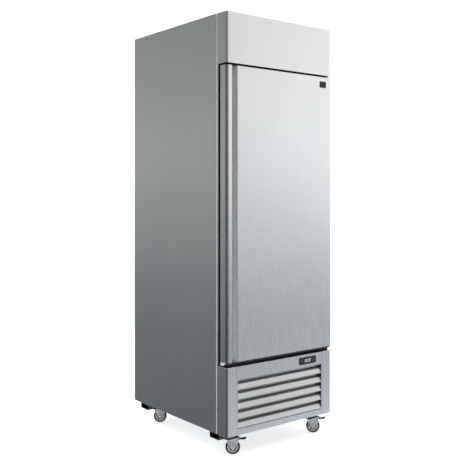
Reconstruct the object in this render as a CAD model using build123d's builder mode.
"""Reach-in refrigerator with one solid door, a bottom-mounted refrigeration unit and four casters.

Millimetres, +Z up. The origin is on the floor under the middle of the cabinet, and the door faces -Y.
Left and right are as seen by a person who stands in front of the door.
"""
from build123d import *
from math import radians, sin, cos
import os

os.makedirs("parts", exist_ok=True)

# ---------------------------------------------------------------- driving dimensions
width = 686.0           # over the side panels
depth = 832.0           # emblem face to rear flange
height = 2090.0         # floor to roof
sheet = 1.0             # steel skins
proud = 2.0             # the emblem and the controller stand this far in front of the steel
door_depth = 47.0       # door box without its gasket
gasket_gap = 17.0       # door box to cabinet face, filled by the gasket
wall = 55.0             # insulated wall

cabinet_bottom = 110.0  # lower edge of the side panels
grille_bottom = 106.0
grille_top = 429.0
box_bottom = 436.0      # underside of the insulated box
opening_bottom = 490.0
opening_top = 1810.0
ceiling = 2029.0
cap_bottom = 435.0      # lowest point of the door
door_bottom = 452.0     # lower edge of the door's steel face
door_top = 1842.0
header_bottom = 1850.0

half = width / 2
front = -depth / 2 + proud
back = depth / 2
face = front + door_depth + gasket_gap
door_back = front + door_depth
inner = half - wall
liner_back = 350.0
jamb_hem = 17.0
corner_radius = 12.0

hinge_inset = 22.0      # hinge pin from the right side
hinge_x = half - hinge_inset
hinge_y = front + 27.0
pin_radius = 4.0
running = 0.05          # radial clearance of pins and shafts

caster_inset = 78.0
caster_x = half - caster_inset
caster_front_y = -345.0
caster_rear_y = 295.0
caster_yaw = -38.0      # all four casters trail the same way at rest
plate_top = 80.0        # caster plate to floor


def block(x, y, z, mode=Mode.ADD):
    """Add or cut a box given by its (low, high) limits along X, Y and Z."""
    centre = ((x[0] + x[1]) / 2, (y[0] + y[1]) / 2, (z[0] + z[1]) / 2)
    with Locations(centre):
        Box(x[1] - x[0], y[1] - y[0], z[1] - z[0], mode=mode)


def rod(centre, radius, length, axis, mode=Mode.ADD):
    """Add or cut a cylinder centred on a point, along the X, Y or Z axis."""
    turn = {"X": (0, 90, 0), "Y": (90, 0, 0), "Z": (0, 0, 0)}[axis]
    with Locations(centre):
        Cylinder(radius, length, rotation=turn, mode=mode)


def front_pan(bottom, top):
    """A sheet pan that is open at the back, with rounded vertical corners at the front."""
    reach = 10.0
    with BuildPart() as pan:
        with BuildSketch(Plane.XY.offset(bottom)) as outline:
            with Locations((0, (front + face) / 2)):
                Rectangle(width, face - front)
            fillet(outline.vertices().group_by(Axis.Y)[0], corner_radius)
        extrude(amount=top - bottom)
        with BuildSketch(Plane.XY.offset(bottom + sheet)) as hollow:
            with Locations((0, (front + sheet + face + reach) / 2)):
                Rectangle(width - 2 * sheet, face + reach - front - sheet)
            fillet(hollow.vertices().group_by(Axis.Y)[0], corner_radius - sheet)
        extrude(amount=top - bottom - 2 * sheet, mode=Mode.SUBTRACT)
    return pan.part


# ---------------------------------------------------------------- cabinet skins
rear_flange = 18.0
bottom_flange = 16.0
bend = 4.0              # flat sheets stop this far short of a folded corner

for side, name in ((-1, "left"), (1, "right")):
    with BuildPart() as side_panel:
        with BuildSketch(Plane.XY.offset(cabinet_bottom)):
            with BuildLine():
                FilletPolyline(
                    (side * (half - sheet / 2), face + jamb_hem),
                    (side * (half - sheet / 2), back - sheet / 2),
                    (side * (half - rear_flange), back - sheet / 2),
                    radius=2.0,
                )
            trace(line_width=sheet)
        extrude(amount=height - cabinet_bottom)
        flange_x = sorted((side * (half - sheet), side * (half - bottom_flange)))
        block(flange_x, (face + jamb_hem, back - 2 * sheet), (cabinet_bottom, cabinet_bottom + sheet))
    side_panel.part.label = f"side_panel_{name}"
    export_step(side_panel.part, f"parts/side_panel_{name}.step")

with BuildPart() as back_panel:
    block((-half + bend, half - bend), (back - 2 * sheet, back - sheet), (box_bottom, height - sheet))
    for bead_x in (-170.0, 0.0, 170.0):
        block((bead_x - 6, bead_x + 6), (back - sheet, back), (box_bottom + 120, height - 160))
back_panel.part.label = "back_panel"
export_step(back_panel.part, "parts/back_panel.step")

with BuildPart() as top_panel:
    block((-half + sheet, half - sheet), (face + sheet, back - sheet), (height - sheet, height))
top_panel.part.label = "top_panel"
export_step(top_panel.part, "parts/top_panel.step")

with BuildPart() as box_underside:
    block((-half + sheet, half - sheet), (face + sheet, back - 2 * sheet), (box_bottom - sheet, box_bottom))
box_underside.part.label = "box_underside"
export_step(box_underside.part, "parts/box_underside.step")

# The front frame: two jambs, a lintel and a sill, with tabs that the header and the grille screw to.
header_screw = (front + 50.0, 2006.0)
grille_screws = ((front + 50.0, 312.0), (front + 50.0, 230.0))
tab = 2.0
screw_radius = 2.0
screw_clearance = 0.1
sill_bottom = 390.0
head_radius = 4.0

with BuildPart() as front_frame:
    for side in (-1, 1):
        with BuildSketch(Plane.XY.offset(cabinet_bottom)):
            with BuildLine():
                FilletPolyline(
                    (side * (half - sheet / 2), face + jamb_hem),
                    (side * (half - sheet / 2), face + sheet / 2),
                    (side * inner, face + sheet / 2),
                    radius=2.0,
                )
            trace(line_width=sheet)
        extrude(amount=height - cabinet_bottom)
        tab_x = sorted((side * (half - sheet), side * (half - sheet - tab)))
        block(tab_x, (face - 30, face + sheet / 2), (header_screw[1] - 40, header_screw[1] + 40))
        block(tab_x, (face - 30, face + sheet / 2), (grille_screws[1][1] - 30, grille_screws[0][1] + 30))
    between_jambs = (-inner + 0.1, inner - 0.1)
    block(between_jambs, (face, face + sheet), (opening_top, height - sheet))
    block(between_jambs, (face, face + sheet), (sill_bottom, opening_bottom))
    for screw_y, screw_z in (header_screw, *grille_screws):
        rod((0, screw_y, screw_z), screw_radius + screw_clearance, width, "X", Mode.SUBTRACT)
front_frame.part.label = "front_frame"
export_step(front_frame.part, "parts/front_frame.step")

# ---------------------------------------------------------------- insulated box
with BuildPart() as inner_liner:
    block((-inner - sheet, inner + sheet), (face + sheet, liner_back + sheet),
          (opening_bottom - sheet, ceiling + sheet))
    block((-inner, inner), (face, liner_back), (opening_bottom, opening_top), Mode.SUBTRACT)
    block((-inner, inner), (face + 52, liner_back), (opening_top - sheet, ceiling), Mode.SUBTRACT)
    block((-inner - sheet, inner + sheet), (face, face + 51), (opening_top + sheet, ceiling + sheet),
          Mode.SUBTRACT)
inner_liner.part.label = "inner_liner"
export_step(inner_liner.part, "parts/inner_liner.step")

# The foam is poured round the liner. It is cut into slabs, which meet at hairline joints.
foam_skin = 1.5         # the slabs stay clear of the skins' bend radii
foam_joint = 0.1
foam_in = inner + sheet
foam_out = half - sheet - foam_skin
foam_front = face + sheet + foam_skin
foam_back = back - 2 * sheet
foam_top = height - sheet
lintel_back = face + 51.0

with BuildPart() as insulation_foam:
    for side in (-1, 1):
        block(sorted((side * foam_in, side * foam_out)), (foam_front, foam_back), (box_bottom, foam_top))
    across = (-foam_in + foam_joint, foam_in - foam_joint)
    block(across, (liner_back + sheet, foam_back), (box_bottom, foam_top))
    block(across, (foam_front, liner_back + sheet - foam_joint), (ceiling + sheet, foam_top))
    block(across, (foam_front, liner_back + sheet - foam_joint), (box_bottom, opening_bottom - sheet))
    block(across, (foam_front, lintel_back), (opening_top + sheet, ceiling + sheet - foam_joint))
insulation_foam.part.label = "insulation_foam"
export_step(insulation_foam.part, "parts/insulation_foam.step")

# ---------------------------------------------------------------- header and grille
panel_hole = head_radius + screw_clearance
flange_setback = 6.0    # the pans' flanges leave room for the hinge brackets

with BuildPart() as header_panel:
    add(front_pan(header_bottom, height))
    block((-half + sheet, half - sheet), (face - flange_setback, face),
          (header_bottom, header_bottom + sheet), Mode.SUBTRACT)
    rod((0, *header_screw), panel_hole, width, "X", Mode.SUBTRACT)
header_panel.part.label = "header_panel"
export_step(header_panel.part, "parts/header_panel.step")

stile_left = -282.0     # inner edges of the grille's stiles
stile_right = 278.0
seam = 0.5

with BuildPart() as grille_stiles:
    add(front_pan(grille_bottom, grille_top))
    block((stile_left, stile_right), (front - 1, face + 1), (grille_bottom, grille_top), Mode.SUBTRACT)
    for flange_z in (grille_bottom, grille_top - sheet):
        block((-half + sheet, half - sheet), (face - flange_setback, face),
              (flange_z, flange_z + sheet), Mode.SUBTRACT)
    for screw_y, screw_z in grille_screws:
        rod((0, screw_y, screw_z), panel_hole, width, "X", Mode.SUBTRACT)
grille_stiles.part.label = "grille_stiles"
export_step(grille_stiles.part, "parts/grille_stiles.step")

slat_count = 5
slat_pitch = 45.5
slat_foot = 137.0       # lower edge of the lowest slat
slat_knee = (9.0, 24.0)  # depth and height at which a slat leans further back
slat_rise = 34.0
slat_depth = 22.0
window_bottom = 136.0
window_top = 366.0
window_margin = 6.0
panel_depth = 28.0
controller_x = 174.0
controller_z = 398.5
controller_size = (118.0, 37.0)
cutout_size = (112.0, 31.0)

with BuildPart() as louver_panel:
    low_x = stile_left + seam
    high_x = stile_right - seam
    low_z = grille_bottom + seam
    high_z = grille_top - seam
    block((low_x, high_x), (front, front + panel_depth), (low_z, high_z))
    block((low_x + sheet, high_x - sheet), (front + sheet, front + panel_depth + 1),
          (low_z + sheet, high_z - sheet), Mode.SUBTRACT)
    block((low_x + window_margin, high_x - window_margin), (front - 1, front + sheet + 1),
          (window_bottom, window_top), Mode.SUBTRACT)
    block((controller_x - cutout_size[0] / 2, controller_x + cutout_size[0] / 2),
          (front - 1, front + sheet + 1),
          (controller_z - cutout_size[1] / 2, controller_z + cutout_size[1] / 2), Mode.SUBTRACT)
    for k in range(slat_count):
        foot = slat_foot + k * slat_pitch
        with BuildSketch(Plane.YZ.offset(low_x + sheet / 2)):
            with BuildLine():
                FilletPolyline(
                    (front + sheet / 2 + 4, foot + sheet / 2),
                    (front + sheet / 2, foot + sheet / 2),
                    (front + slat_knee[0], foot + slat_knee[1]),
                    (front + slat_depth, foot + slat_rise),
                    (front + slat_depth, foot + slat_rise + 6),
                    radius=1.0,
                )
            trace(line_width=sheet)
        extrude(amount=high_x - low_x - sheet)
louver_panel.part.label = "louver_panel"
export_step(louver_panel.part, "parts/louver_panel.step")

# ---------------------------------------------------------------- controller
bezel_front = front - 1.4
case_depth = 50.0
case_wall = 2.0
button_x = (-48.0, -36.0, 36.0, 48.0)
button_names = ("defrost", "lamp", "down", "up")
button_radius = 3.0
button_gap = 0.1
lens_size = (46.0, 18.0)

with BuildPart() as controller_case:
    with BuildSketch(Plane.XZ.offset(-bezel_front)):
        with Locations((controller_x, controller_z)):
            RectangleRounded(*controller_size, radius=5)
    extrude(amount=bezel_front - front)
    case_x = (controller_x - 55, controller_x + 55)
    case_z = (controller_z - 15, controller_z + 15)
    block(case_x, (front, front + case_depth), case_z)
    block((case_x[0] + case_wall, case_x[1] - case_wall), (front, front + case_depth - case_wall),
          (case_z[0] + case_wall, case_z[1] - case_wall), Mode.SUBTRACT)
    for offset_x in button_x:
        rod((controller_x + offset_x, front, controller_z), button_radius + button_gap, 8, "Y", Mode.SUBTRACT)
    block((controller_x - lens_size[0] / 2, controller_x + lens_size[0] / 2), (bezel_front - 1, front + 1),
          (controller_z - lens_size[1] / 2, controller_z + lens_size[1] / 2), Mode.SUBTRACT)
controller_case.part.label = "controller_case"
export_step(controller_case.part, "parts/controller_case.step")

with BuildPart() as controller_display:
    lens_x = (controller_x - lens_size[0] / 2 + 0.2, controller_x + lens_size[0] / 2 - 0.2)
    lens_z = (controller_z - lens_size[1] / 2 + 0.2, controller_z + lens_size[1] / 2 - 0.2)
    block(lens_x, (bezel_front + 0.2, front + 3), lens_z)
    block((lens_x[0] - 3, lens_x[1] + 3), (front + 0.4, front + 10), (lens_z[0] - 2, lens_z[1] + 2))
controller_display.part.label = "controller_display"
export_step(controller_display.part, "parts/controller_display.step")

for offset_x, name in zip(button_x, button_names):
    with BuildPart() as button:
        rod((controller_x + offset_x, front + 1, controller_z), button_radius, 6, "Y")
        rod((controller_x + offset_x, front + 2, controller_z), button_radius + 1.2, 2, "Y")
        fillet(button.faces().sort_by(Axis.Y)[0].edges(), 0.6)
    button.part.label = f"button_{name}"
    export_step(button.part, f"parts/button_{name}.step")

# ---------------------------------------------------------------- base and casters' plates
rail_top = 107.0
rail_web = 2.5
rail_length = 2 * (half - 2)
rail_depth = 74.0

with BuildPart() as base_plate:
    block((-half + 2, half - 2), (face + sheet, back - 2 * sheet), (rail_top, cabinet_bottom))
base_plate.part.label = "base_plate"
export_step(base_plate.part, "parts/base_plate.step")

rear_rail_lead = 19.0   # from the rear rail's front to the rear swivel axes
rail_starts = (face - 3, caster_rear_y - rear_rail_lead)
bolt_x = 30.0
bolt_y = (8.0, 27.0)      # both rows of bolts are behind the swivel, inside the rail
bolt_radius = 4.0
bolt_gap = 0.3
caster_spots = {
    "front_left": (-caster_x, caster_front_y),
    "front_right": (caster_x, caster_front_y),
    "rear_left": (-caster_x, caster_rear_y),
    "rear_right": (caster_x, caster_rear_y),
}
bolt_spots = [
    (x + side_x * bolt_x, y + row)
    for x, y in caster_spots.values()
    for side_x in (-1, 1)
    for row in bolt_y
]

with BuildPart() as base_rails:
    for start in rail_starts:
        block((-rail_length / 2, rail_length / 2), (start, start + rail_depth), (plate_top, rail_top))
        block((-rail_length / 2, rail_length / 2), (start + rail_web, start + rail_depth - rail_web),
              (plate_top + rail_web, rail_top), Mode.SUBTRACT)
    with Locations(*[(x, y, plate_top) for x, y in bolt_spots]):
        Cylinder(bolt_radius + bolt_gap, 10, mode=Mode.SUBTRACT)
base_rails.part.label = "base_rails"
export_step(base_rails.part, "parts/base_rails.step")

caster_plate_size = (80.0, 68.0, 3.0)
race_radius = 19.0
race_bottom = 74.8
king_pin_radius = 5.0
king_pin_bottom = 70.6   # just over the wheel
king_pin_head = 1.4
crown_bottom = 72.3
crown_top = 74.4

with BuildPart() as caster_plates:
    for x, y in caster_spots.values():
        with Locations((x, y, plate_top - caster_plate_size[2] / 2)):
            Box(*caster_plate_size)
        rod((x, y, (race_bottom + plate_top - 1) / 2), race_radius, plate_top - 1 - race_bottom, "Z")
        rod((x, y, (king_pin_bottom + plate_top - 1) / 2), king_pin_radius,
            plate_top - 1 - king_pin_bottom, "Z")
        rod((x, y, king_pin_bottom + king_pin_head / 2), king_pin_radius + 3, king_pin_head, "Z")
    with Locations(*[(x, y, plate_top) for x, y in bolt_spots]):
        Cylinder(bolt_radius + bolt_gap, 10, mode=Mode.SUBTRACT)
caster_plates.part.label = "caster_plates"
export_step(caster_plates.part, "parts/caster_plates.step")

with BuildPart() as fasteners:
    for side in (-1, 1):
        for screw_y, screw_z in (header_screw, *grille_screws):
            rod((side * (half - sheet / 2), screw_y, screw_z), head_radius, sheet, "X")
            rod((side * (half - sheet - 4), screw_y, screw_z), screw_radius, 8, "X")
    for x, y in bolt_spots:
        rod((x, y, plate_top + 2.5), bolt_radius, 14, "Z")
        rod((x, y, plate_top - caster_plate_size[2] - 0.75), bolt_radius + 2.5, 1.5, "Z")
    with BuildSketch(Plane.XY.offset(plate_top + rail_web)):
        with Locations(*bolt_spots):
            RegularPolygon(5.4, 6)
    extrude(amount=5)
fasteners.part.label = "fasteners"
export_step(fasteners.part, "parts/fasteners.step")

# ---------------------------------------------------------------- hinges
hinge_plate = 4.0
bracket_x = (222.0, 336.0)
bracket_y = (hinge_y - 13.0, face)
top_plate_z = 1844.5
bottom_plate_z = 430.0
flange_height = 38.0
top_pin_z = (1822.0, top_plate_z + hinge_plate)
bottom_pin_z = (bottom_plate_z, 453.0)


def hinge_bracket(plate_z, flange_z, pin_z):
    """A tapering hinge plate with a bolted flange behind it and the hinge pin at its end."""
    with BuildPart() as bracket:
        with BuildSketch(Plane.XY.offset(plate_z)):
            Polygon(
                (bracket_x[0], bracket_y[1]), (bracket_x[1], bracket_y[1]),
                (bracket_x[1], bracket_y[0]), (hinge_x - 14, bracket_y[0]), (bracket_x[0], -362),
                align=None,
            )
        extrude(amount=hinge_plate)
        fillet(bracket.edges().filter_by(Axis.Z).group_by(Axis.Y)[0], 6)
        block(bracket_x, (face - 3, face), flange_z)
        rod((hinge_x, hinge_y, sum(pin_z) / 2), pin_radius, pin_z[1] - pin_z[0], "Z")
        for bolt_at in (bracket_x[0] + 18, bracket_x[1] - 18):
            rod((bolt_at, face - 4, (flange_z[0] + flange_z[1]) / 2), 5.5, 3, "Y")
    return bracket.part


with BuildPart() as top_hinge_bracket:
    add(hinge_bracket(top_plate_z, (top_plate_z, top_plate_z + flange_height), top_pin_z))
top_hinge_bracket.part.label = "top_hinge_bracket"
export_step(top_hinge_bracket.part, "parts/top_hinge_bracket.step")

with BuildPart() as bottom_hinge_bracket:
    add(hinge_bracket(bottom_plate_z, (bottom_plate_z + hinge_plate - flange_height,
                                       bottom_plate_z + hinge_plate), bottom_pin_z))
bottom_hinge_bracket.part.label = "bottom_hinge_bracket"
export_step(bottom_hinge_bracket.part, "parts/bottom_hinge_bracket.step")

# ---------------------------------------------------------------- door
nose_radius = 16.0
door_right_radius = 8.5
handle_right = -278.0   # where the steel face of the door begins
handle_sheet = 1.5
lip_edge = -309.0
lip_thick = 10.0
pocket_floor = front + 27.0
undercut = -330.0
skin_flange = 12.0
top_cap = 2.0
bush_radius = 7.0
bush_top_length = 22.0
bush_bottom_length = 20.0
steel_top = door_top - top_cap

with BuildPart() as door_skin:
    with BuildSketch(Plane.XY.offset(door_bottom)):
        with BuildLine():
            FilletPolyline(
                (handle_right, front + sheet / 2),
                (half - sheet / 2, front + sheet / 2),
                (half - sheet / 2, door_back - sheet / 2),
                (half - skin_flange, door_back - sheet / 2),
                radius=[door_right_radius - sheet / 2, 1.0],
            )
        trace(line_width=sheet)
    extrude(amount=steel_top - door_bottom)
door_skin.part.label = "door_skin"
export_step(door_skin.part, "parts/door_skin.step")

with BuildPart() as door_handle:
    mid = handle_sheet / 2
    with BuildSketch(Plane.XY.offset(door_bottom)):
        with BuildLine():
            FilletPolyline(
                (-half + mid, door_back),
                (-half + mid, front + mid),
                (lip_edge - mid, front + mid),
                (lip_edge - mid, front + lip_thick - mid),
                (undercut, front + lip_thick - mid),
                (undercut, pocket_floor),
                (lip_edge + 8, pocket_floor),
                (handle_right - 1.6, front + 1.5),
                radius=[nose_radius - mid, 1.5, 1.5, 3.0, 5.0, 6.0],
            )
        trace(line_width=handle_sheet)
    extrude(amount=steel_top - door_bottom)
door_handle.part.label = "door_handle"
export_step(door_handle.part, "parts/door_handle.step")

cap_bevel = (19.0, door_bottom - cap_bottom)

with BuildPart() as door_end_caps:
    for level, thick in ((cap_bottom, door_bottom - cap_bottom), (steel_top, top_cap)):
        with BuildSketch(Plane.XY.offset(level)) as outline:
            with Locations((0, (front + door_back) / 2)):
                Rectangle(width, door_depth)
            corners = outline.vertices().group_by(Axis.Y)[0].sort_by(Axis.X)
            fillet(corners[0], nose_radius)
            fillet(outline.vertices().group_by(Axis.Y)[0].sort_by(Axis.X)[-1], door_right_radius)
        extrude(amount=thick)
    with BuildSketch(Plane.YZ.offset(-half - 1)):
        Polygon((front - 1, door_bottom + 1), (front - 1, cap_bottom - 1),
                (front + cap_bevel[0] + 1, cap_bottom - 1), align=None)
    extrude(amount=width + 2, mode=Mode.SUBTRACT)
    rod((hinge_x, hinge_y, (cap_bottom + door_top) / 2), bush_radius, door_top, "Z", Mode.SUBTRACT)
door_end_caps.part.label = "door_end_caps"
export_step(door_end_caps.part, "parts/door_end_caps.step")

with BuildPart() as hinge_bushes:
    for low, high in ((door_top - bush_top_length, door_top), (cap_bottom, cap_bottom + bush_bottom_length)):
        rod((hinge_x, hinge_y, (low + high) / 2), bush_radius, high - low, "Z")
        rod((hinge_x, hinge_y, (low + high) / 2), pin_radius + running, high - low + 2, "Z", Mode.SUBTRACT)
hinge_bushes.part.label = "hinge_bushes"
export_step(hinge_bushes.part, "parts/hinge_bushes.step")

liner_sheet = 2.0
dyke_half = 268.0
dyke_z = (512.0, 1788.0)
dyke_depth = 27.0
dyke_taper = 12
inner_plane = Plane(origin=(0, door_back, 0), x_dir=(-1, 0, 0), z_dir=(0, 1, 0))

with BuildPart() as door_liner:
    block((-half + 2, half - skin_flange - 0.2), (door_back - liner_sheet, door_back),
          (door_bottom, steel_top))
    with BuildSketch(inner_plane):
        with Locations((0, sum(dyke_z) / 2)):
            RectangleRounded(2 * dyke_half, dyke_z[1] - dyke_z[0], radius=24)
    extrude(amount=dyke_depth, taper=dyke_taper)
    fillet(door_liner.faces().sort_by(Axis.Y)[-1].edges(), 5)
    with BuildSketch(inner_plane.offset(-liner_sheet)):
        with Locations((0, sum(dyke_z) / 2)):
            RectangleRounded(2 * dyke_half - 6, dyke_z[1] - dyke_z[0] - 6, radius=22)
    extrude(amount=dyke_depth - liner_sheet, taper=dyke_taper, mode=Mode.SUBTRACT)
door_liner.part.label = "door_liner"
export_step(door_liner.part, "parts/door_liner.step")

with BuildPart() as door_foam:
    core_y = (front + sheet + 0.5, door_back - liner_sheet)
    block((handle_right + 2, half - sheet - 8), core_y, (door_bottom, steel_top))
    block((-half + 3, handle_right + 1.9), (pocket_floor + 1, core_y[1]), (door_bottom, steel_top))
    rod((hinge_x, hinge_y, (cap_bottom + door_top) / 2), bush_radius + 0.1, door_top, "Z", Mode.SUBTRACT)
door_foam.part.label = "door_foam"
export_step(door_foam.part, "parts/door_foam.step")

gasket_half = 318.0
gasket_z = (462.0, 1826.0)
gasket_levels = ((0.0, 4.0, 16.0), (4.0, 8.0, 7.0), (8.0, 16.5, 14.0))

with BuildPart() as door_gasket:
    gasket_width = 2 * gasket_half
    gasket_height = gasket_z[1] - gasket_z[0]
    for near, far, thick in gasket_levels:
        with BuildSketch(inner_plane.offset(near)):
            with Locations((0, sum(gasket_z) / 2)):
                RectangleRounded(gasket_width + thick, gasket_height + thick, radius=8 + thick / 2)
                RectangleRounded(gasket_width - thick, gasket_height - thick,
                                 radius=10 - thick / 2, mode=Mode.SUBTRACT)
        extrude(amount=far - near)
door_gasket.part.label = "door_gasket"
export_step(door_gasket.part, "parts/door_gasket.step")

emblem_x = 282.5
emblem_z = 1802.0

with BuildPart() as door_emblem:
    with BuildSketch(Plane.XZ.offset(-front)):
        with Locations((emblem_x, emblem_z)):
            RectangleRounded(43, 32, radius=3)
    extrude(amount=proud)
    fillet(door_emblem.faces().sort_by(Axis.Y)[0].edges(), 0.8)
door_emblem.part.label = "door_emblem"
export_step(door_emblem.part, "parts/door_emblem.step")

# ---------------------------------------------------------------- door switch
switch_x = -145.0
switch_z = 1837.2
switch_front = door_back + 5.0
plunger_radius = 1.9

with BuildPart() as door_switch_body:
    block((switch_x - 16, switch_x + 16), (switch_front, face), (switch_z - 2.8, switch_z + 12))
    fillet(door_switch_body.edges().filter_by(Axis.Z).group_by(Axis.Y)[0], 2)
    rod((switch_x, switch_front + 5, switch_z), plunger_radius + running, 12, "Y", Mode.SUBTRACT)
door_switch_body.part.label = "door_switch_body"
export_step(door_switch_body.part, "parts/door_switch_body.step")

with BuildPart() as door_switch_plunger:
    rod((switch_x, door_back + 6.3, switch_z), plunger_radius, 12, "Y")
    fillet(door_switch_plunger.faces().sort_by(Axis.Y)[0].edges(), 1)
door_switch_plunger.part.label = "door_switch_plunger"
export_step(door_switch_plunger.part, "parts/door_switch_plunger.step")

# ---------------------------------------------------------------- casters
trail = 10.0
wheel_radius = 35.0
tyre_bore = 28.0
axle_radius = 4.0
leg_inner = 12.5
leg_sheet = 2.5
pedal_pivot = (31.0, 69.0)
pedal_pin = 1.8
crown_x = (-18.0, 26.0)


def caster_fork():
    """Fork with its axle bolt. The swivel axis is local Z, the wheel trails along +X."""
    with BuildPart() as fork:
        with Locations((0, 0, (crown_bottom + crown_top) / 2)):
            Cylinder(21, crown_top - crown_bottom)
        block(crown_x, (-leg_inner - leg_sheet, leg_inner + leg_sheet), (crown_bottom, crown_top))
        for leg_y in (-leg_inner - leg_sheet, leg_inner):
            with BuildSketch(Plane.XZ.offset(-leg_y)) as leg:
                Polygon((crown_x[0], crown_top), (crown_x[0], 58), (1, 34), (4, 26), (16, 26), (21, 36),
                        (37, 58), (37, crown_top), align=None)
                fillet(leg.vertices().group_by(Axis.Y)[0], 5)
                with Locations((trail, wheel_radius)):
                    Circle(axle_radius + 0.1, mode=Mode.SUBTRACT)
                with Locations(pedal_pivot):
                    Circle(pedal_pin + running, mode=Mode.SUBTRACT)
            extrude(amount=-leg_sheet)
        rod((0, 0, crown_top), king_pin_radius + running, 12, "Z", Mode.SUBTRACT)
        rod((trail, 0, wheel_radius), axle_radius, 2 * (leg_inner + leg_sheet + 3), "Y")
        for head_y in (-1, 1):
            rod((trail, head_y * (leg_inner + leg_sheet + 1.75), wheel_radius), 6.2, 3.4, "Y")
    return fork.part


def caster_wheel():
    """Plastic hub with five round holes, and its rubber tyre."""
    with BuildPart() as wheel:
        rod((trail, 0, wheel_radius), tyre_bore - 0.05, 19, "Y")
        for face_y in (-1, 1):
            rod((trail, face_y * 9.5, wheel_radius), 24, 6, "Y", Mode.SUBTRACT)
        rod((trail, 0, wheel_radius), 8, 24, "Y")
        rod((trail, 0, wheel_radius), axle_radius + running, 30, "Y", Mode.SUBTRACT)
        for k in range(5):
            turn = radians(18 + 72 * k)
            rod((trail + 16.5 * cos(turn), 0, wheel_radius + 16.5 * sin(turn)), 3.6, 30, "Y", Mode.SUBTRACT)
    with BuildPart() as tyre:
        rod((trail, 0, wheel_radius), wheel_radius, 21, "Y")
        fillet(tyre.edges().filter_by(GeomType.CIRCLE), 4)
        rod((trail, 0, wheel_radius), tyre_bore, 30, "Y", Mode.SUBTRACT)
        add(wheel.part)
    return tyre.part


def brake_pedal():
    """Lever between the fork's legs, with a wide toe pad."""
    with BuildPart() as pedal:
        rod((pedal_pivot[0], 0, pedal_pivot[1]), 3.2, 2 * (leg_inner - 0.4), "Y")
        rod((pedal_pivot[0], 0, pedal_pivot[1]), pedal_pin, 2 * (leg_inner + leg_sheet + 0.8), "Y")
        with BuildSketch(Plane.XZ.offset(-11)):
            with BuildLine():
                FilletPolyline((31, 70.5), (44, 71.5), (66, 74.5), (74, 77.6), radius=6)
            trace(line_width=3)
        extrude(amount=22)
        with BuildSketch(Plane.XZ.offset(-14)):
            with BuildLine():
                FilletPolyline((54, 72.86), (66, 74.5), (74, 77.6), radius=6)
            trace(line_width=3)
        extrude(amount=28)
    return pedal.part


fork_shape = caster_fork()
wheel_shape = caster_wheel()
pedal_shape = brake_pedal()

for spot, (x, y) in caster_spots.items():
    with BuildPart() as caster_fork_part:
        with Locations(Location((x, y, 0), (0, 0, caster_yaw))):
            add(fork_shape)
    caster_fork_part.part.label = f"caster_fork_{spot}"
    export_step(caster_fork_part.part, f"parts/caster_fork_{spot}.step")
    with BuildPart() as caster_wheel_part:
        with Locations(Location((x, y, 0), (0, 0, caster_yaw))):
            add(wheel_shape)
    caster_wheel_part.part.label = f"caster_wheel_{spot}"
    export_step(caster_wheel_part.part, f"parts/caster_wheel_{spot}.step")
    if spot.startswith("front"):
        with BuildPart() as brake_pedal_part:
            with Locations(Location((x, y, 0), (0, 0, caster_yaw))):
                add(pedal_shape)
        brake_pedal_part.part.label = f"brake_pedal_{spot}"
        export_step(brake_pedal_part.part, f"parts/brake_pedal_{spot}.step")

# ---------------------------------------------------------------- shelves
standard_y = (-235.0, 245.0)
standard_z = (515.0, 1790.0)
standard_width = 20.0
standard_depth = 6.0
slot_pitch = 50.0
shelf_levels = {"lower": 815.0, "middle": 1115.0, "upper": 1415.0}
shelf_half = 274.0
shelf_y = (-300.0, 325.0)

with BuildPart() as shelf_standards:
    for side in (-1, 1):
        for y in standard_y:
            outer_x = sorted((side * inner, side * (inner - standard_depth)))
            hollow_x = sorted((side * (inner + 1), side * (inner - standard_depth + 1.2)))
            block(outer_x, (y - standard_width / 2, y + standard_width / 2), standard_z)
            block(hollow_x, (y - standard_width / 2 + 1.2, y + standard_width / 2 - 1.2),
                  (standard_z[0] - 1, standard_z[1] + 1), Mode.SUBTRACT)
    slot_count = int((standard_z[1] - standard_z[0]) / slot_pitch)
    slots = [(0, y, standard_z[0] + slot_pitch * (k + 0.5)) for y in standard_y for k in range(slot_count)]
    with Locations(*slots):
        Box(width, 9, 14, mode=Mode.SUBTRACT)
shelf_standards.part.label = "shelf_standards"
export_step(shelf_standards.part, "parts/shelf_standards.step")

clip_reach = 12.0
with BuildPart() as shelf_clips:
    for level in shelf_levels.values():
        for side in (-1, 1):
            for y in standard_y:
                root = inner - standard_depth
                tip_x = sorted((side * root, side * (root - clip_reach)))
                stem_x = sorted((side * root, side * (root - 2)))
                block(tip_x, (y - 9, y + 9), (level - 3, level))
                block(stem_x, (y - 6, y + 6), (level - 22, level))
shelf_clips.part.label = "shelf_clips"
export_step(shelf_clips.part, "parts/shelf_clips.step")

wire_count = 23
cross_count = 5


def wire_shelf(level):
    """Two side rods, cross rods on top of them, and a row of thin wires on top of those."""
    mid_y = sum(shelf_y) / 2
    length = shelf_y[1] - shelf_y[0]
    cross_gap = (length - 20) / (cross_count - 1)
    wire_gap = 2 * (shelf_half - 8) / (wire_count - 1)
    with BuildPart() as shelf:
        with Locations((-shelf_half + 4, mid_y, level + 3), (shelf_half - 4, mid_y, level + 3)):
            Cylinder(3, length, rotation=(90, 0, 0))
        with Locations(*[(0, shelf_y[0] + 10 + k * cross_gap, level + 8) for k in range(cross_count)]):
            Cylinder(3, 2 * shelf_half, rotation=(0, 90, 0))
        wires = [(-shelf_half + 8 + k * wire_gap, mid_y, level + 12.2) for k in range(wire_count)]
        with Locations(*wires):
            Cylinder(2, length, rotation=(90, 0, 0))
    return shelf.part


for name, level in shelf_levels.items():
    with BuildPart() as shelf_part:
        add(wire_shelf(level))
    shelf_part.part.label = f"wire_shelf_{name}"
    export_step(shelf_part.part, f"parts/wire_shelf_{name}.step")

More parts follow.
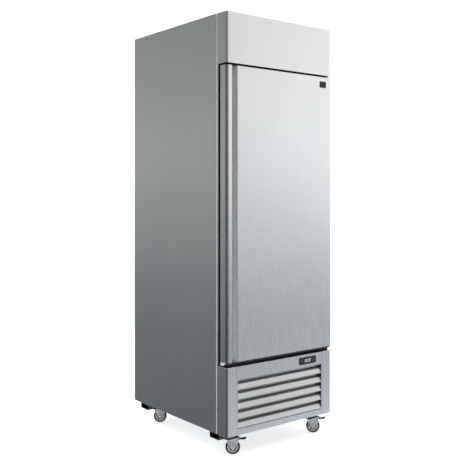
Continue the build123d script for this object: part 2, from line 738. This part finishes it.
# ---------------------------------------------------------------- evaporator and lamp
cover_x = 250.0
cover_y = (-285.0, 190.0)
cover_bottom = 1836.0
fan_y = -165.0
evap_fan_radius = 88.0
evap_fan_z = 1862.0
shaft_radius = 3.0


def finned_coil(x, y, z, fins, tubes_across, tubes_up):
    """Thin fins between two end plates, on straight tubes that run along X."""
    span = x[1] - x[0]
    rows_y = [y[0] + (k + 0.5) * (y[1] - y[0]) / tubes_across for k in range(tubes_across)]
    rows_z = [z[0] + (k + 0.5) * (z[1] - z[0]) / tubes_up for k in range(tubes_up)]
    mid = ((x[0] + x[1]) / 2, (y[0] + y[1]) / 2, (z[0] + z[1]) / 2)
    with BuildPart() as coil:
        spots = [(x[0] + (k + 0.5) * span / fins, mid[1], mid[2]) for k in range(fins)]
        with Locations(*spots):
            Box(0.6, y[1] - y[0], z[1] - z[0])
        block((x[0] - 1, x[0] + 0.5), y, z)
        block((x[1] - 0.5, x[1] + 1), y, z)
        with Locations(*[(mid[0], tube_y, tube_z) for tube_y in rows_y for tube_z in rows_z]):
            Cylinder(4.8, span + 16, rotation=(0, 90, 0))
    return coil.part


def axial_fan(radius, hub_radius, hub_length, blades, pitch, chord):
    """Fan on local Z, with its hub's middle at the origin."""
    reach = radius + 4 - hub_radius
    with BuildPart() as fan:
        with PolarLocations(hub_radius - 2 + reach / 2, blades):
            Box(reach, chord, 1.8, rotation=(pitch, 0, 0))
        Cylinder(radius, 4 * hub_length, mode=Mode.INTERSECT)
        Cylinder(hub_radius, hub_length)
        fillet(fan.edges().filter_by(GeomType.CIRCLE).group_by(Axis.Z)[0], 2)
        Cylinder(shaft_radius + running, 8 * hub_length, mode=Mode.SUBTRACT)
    return fan.part


with BuildPart() as evaporator_coil:
    add(finned_coil((-215, 215), (20, 150), (1862, 2010), 26, 2, 4))
evaporator_coil.part.label = "evaporator_coil"
export_step(evaporator_coil.part, "parts/evaporator_coil.step")

with BuildPart() as evaporator_cover:
    block((-cover_x, cover_x), cover_y, (cover_bottom, ceiling - 1))
    block((-cover_x + sheet, cover_x - sheet), (cover_y[0] + sheet, cover_y[1] - sheet),
          (cover_bottom + sheet, ceiling), Mode.SUBTRACT)
    rod((0, fan_y, cover_bottom), evap_fan_radius + 6, 4, "Z", Mode.SUBTRACT)
    for k in range(9):
        slot_x = (k - 4) * 50.0
        block((slot_x - 18, slot_x + 18), (cover_y[1] - 3, cover_y[1] + 1), (1880, 1990), Mode.SUBTRACT)
evaporator_cover.part.label = "evaporator_cover"
export_step(evaporator_cover.part, "parts/evaporator_cover.step")

motor_z = (evap_fan_z + 18.0, evap_fan_z + 78.0)
with BuildPart() as evaporator_fan_motor:
    rod((0, fan_y, sum(motor_z) / 2), 36, motor_z[1] - motor_z[0], "Z")
    fillet(evaporator_fan_motor.edges().filter_by(GeomType.CIRCLE), 6)
    rod((0, fan_y, evap_fan_z + 14), shaft_radius, 36, "Z")
    for side in (-1, 1):
        arm_x = sorted((side * 30, side * 118))
        post_x = sorted((side * 115, side * 118))
        block(arm_x, (fan_y - 9, fan_y + 9), (motor_z[0] + 20, motor_z[0] + 23))
        block(post_x, (fan_y - 9, fan_y + 9), (cover_bottom + sheet, motor_z[0] + 23))
evaporator_fan_motor.part.label = "evaporator_fan_motor"
export_step(evaporator_fan_motor.part, "parts/evaporator_fan_motor.step")

evaporator_fan_shape = axial_fan(evap_fan_radius, 21, 22, 5, 24, 52)
with BuildPart() as evaporator_fan:
    with Locations((0, fan_y, evap_fan_z)):
        add(evaporator_fan_shape)
evaporator_fan.part.label = "evaporator_fan"
export_step(evaporator_fan.part, "parts/evaporator_fan.step")

with BuildPart() as interior_lamp:
    block((-190, 190), (face + 18, face + 44), (opening_top - 13, opening_top - sheet))
    fillet(interior_lamp.edges().filter_by(Axis.X).group_by(Axis.Z)[0], 5)
interior_lamp.part.label = "interior_lamp"
export_step(interior_lamp.part, "parts/interior_lamp.step")

# ---------------------------------------------------------------- refrigeration unit
unit_floor = cabinet_bottom
compressor_x = 150.0
compressor_y = 190.0
foot_z = unit_floor + 16.0

with BuildPart() as compressor:
    rod((compressor_x, compressor_y, foot_z + 90), 74, 164, "Z")
    fillet(compressor.edges().group_by(Axis.Z)[-1], 44)
    fillet(compressor.edges().group_by(Axis.Z)[0], 22)
    rod((compressor_x, compressor_y, foot_z + 91), 78, 6, "Z")
    block((compressor_x - 95, compressor_x + 95), (compressor_y - 58, compressor_y + 58),
          (foot_z, foot_z + 3))
    rod((compressor_x, compressor_y, foot_z + 8), 50, 14, "Z")
    feet = [(compressor_x + a * 80, compressor_y + b * 44) for a in (-1, 1) for b in (-1, 1)]
    with Locations(*[(x, y, foot_z) for x, y in feet]):
        Cylinder(9.1, 12, mode=Mode.SUBTRACT)
    for x, y in feet:
        rod((x, y, foot_z - 8.05), 12, 15.9, "Z")
        rod((x, y, foot_z + 3), 9, 10, "Z")
compressor.part.label = "compressor"
export_step(compressor.part, "parts/compressor.step")

condenser_x = (-262.0, 46.0)
condenser_y = (-338.0, -286.0)
condenser_z = (122.0, 384.0)
cond_fan_x = sum(condenser_x) / 2
cond_fan_z = sum(condenser_z) / 2
cond_fan_radius = 92.0
cond_fan_y = -240.0
shroud_y = (-284.0, -218.0)

with BuildPart() as condenser_coil:
    add(finned_coil(condenser_x, condenser_y, condenser_z, 28, 2, 6))
    block(condenser_x, condenser_y, (unit_floor, condenser_z[0] + 0.5))    # the coil's foot
condenser_coil.part.label = "condenser_coil"
export_step(condenser_coil.part, "parts/condenser_coil.step")

with BuildPart() as condenser_fan_shroud:
    block((condenser_x[0] - 8, condenser_x[1] + 8), (shroud_y[0], shroud_y[0] + 1.5),
          (unit_floor, condenser_z[1] + 6))
    rod((cond_fan_x, (shroud_y[0] + shroud_y[1]) / 2, cond_fan_z), cond_fan_radius + 7,
        shroud_y[1] - shroud_y[0], "Y")
    rod((cond_fan_x, shroud_y[1], cond_fan_z), cond_fan_radius + 5, 300, "Y", Mode.SUBTRACT)
    rod((cond_fan_x, shroud_y[1] + 26, cond_fan_z), 38, 56, "Y")
    rod((cond_fan_x, cond_fan_y + 8, cond_fan_z), shaft_radius, 50, "Y")
    for k in range(3):
        turn = 90 + 120 * k
        with Locations(Location((cond_fan_x, shroud_y[1] - 1, cond_fan_z), (0, turn, 0))):
            with Locations((78, 0, 0)):
                Box(90, 3, 12)
condenser_fan_shroud.part.label = "condenser_fan_shroud"
export_step(condenser_fan_shroud.part, "parts/condenser_fan_shroud.step")

condenser_fan_shape = axial_fan(cond_fan_radius, 24, 20, 5, 24, 62)
with BuildPart() as condenser_fan:
    with Locations(Location((cond_fan_x, cond_fan_y - 6, cond_fan_z), (90, 0, 0))):
        add(condenser_fan_shape)
condenser_fan.part.label = "condenser_fan"
export_step(condenser_fan.part, "parts/condenser_fan.step")

line_radius = 4.0
line_routes = (
    ((compressor_x, compressor_y - 74.3, 240), (compressor_x, -312, 240), (condenser_x[1] + 9.2, -312, 240)),
    ((condenser_x[1] + 9.2, -312, 144), (92, -312, 144), (92, 20, 144), (20, 20, 144), (20, 385, 144),
     (20, 385, box_bottom - sheet)),
    ((compressor_x, compressor_y + 74.3, 230), (compressor_x, 385, 230),
     (compressor_x, 385, box_bottom - sheet)),
)
with BuildPart() as refrigerant_lines:
    for route in line_routes:
        with BuildLine() as path:
            FilletPolyline(*route, radius=24)
        with BuildSketch(Plane(origin=path.line @ 0, z_dir=path.line % 0)):
            Circle(line_radius)
        sweep(path=path.line)
    rod((92, -150, 144), 11, 90, "Y")
    fillet(refrigerant_lines.edges().filter_by(lambda e: e.geom_type == GeomType.CIRCLE
                                               and abs(e.radius - 11) < 0.01), 5)
refrigerant_lines.part.label = "refrigerant_lines"
export_step(refrigerant_lines.part, "parts/refrigerant_lines.step")

inlet_x = -240.0
inlet_z = 176.0
inlet_size = (48.0, 28.0)
with BuildPart() as terminal_box:
    block((-300, -180), (330, back - 2 * sheet - 1), (unit_floor, 250))
    fillet(terminal_box.edges().filter_by(Axis.Z), 4)
    block((inlet_x - inlet_size[0] / 2, inlet_x + inlet_size[0] / 2), (400, back),
          (inlet_z - inlet_size[1] / 2, inlet_z + inlet_size[1] / 2))
    block((inlet_x - 13, inlet_x + 13), (back - 16, back + 1), (inlet_z - 9, inlet_z + 9), Mode.SUBTRACT)
    with Locations((inlet_x - 7, back - 10, inlet_z), (inlet_x, back - 10, inlet_z + 3),
                   (inlet_x + 7, back - 10, inlet_z)):
        Box(2, 14, 4)
terminal_box.part.label = "terminal_box"
export_step(terminal_box.part, "parts/terminal_box.step")

with BuildPart() as rear_grille:
    block((-half + bend, half - bend), (back - 2 * sheet, back - sheet),
          (cabinet_bottom + 1.5, box_bottom - 2))
    block((inlet_x - inlet_size[0] / 2 - 0.5, inlet_x + inlet_size[0] / 2 + 0.5), (back - 3, back + 1),
          (inlet_z - inlet_size[1] / 2 - 0.5, inlet_z + inlet_size[1] / 2 + 0.5), Mode.SUBTRACT)
    with Locations((90, back - 1.5, 275)):
        with GridLocations(110, 1, 4, 1):
            with Locations(*[(0, 0, (k - 4.5) * 24) for k in range(10)]):
                Box(84, 4, 8, mode=Mode.SUBTRACT)
rear_grille.part.label = "rear_grille"
export_step(rear_grille.part, "parts/rear_grille.step")
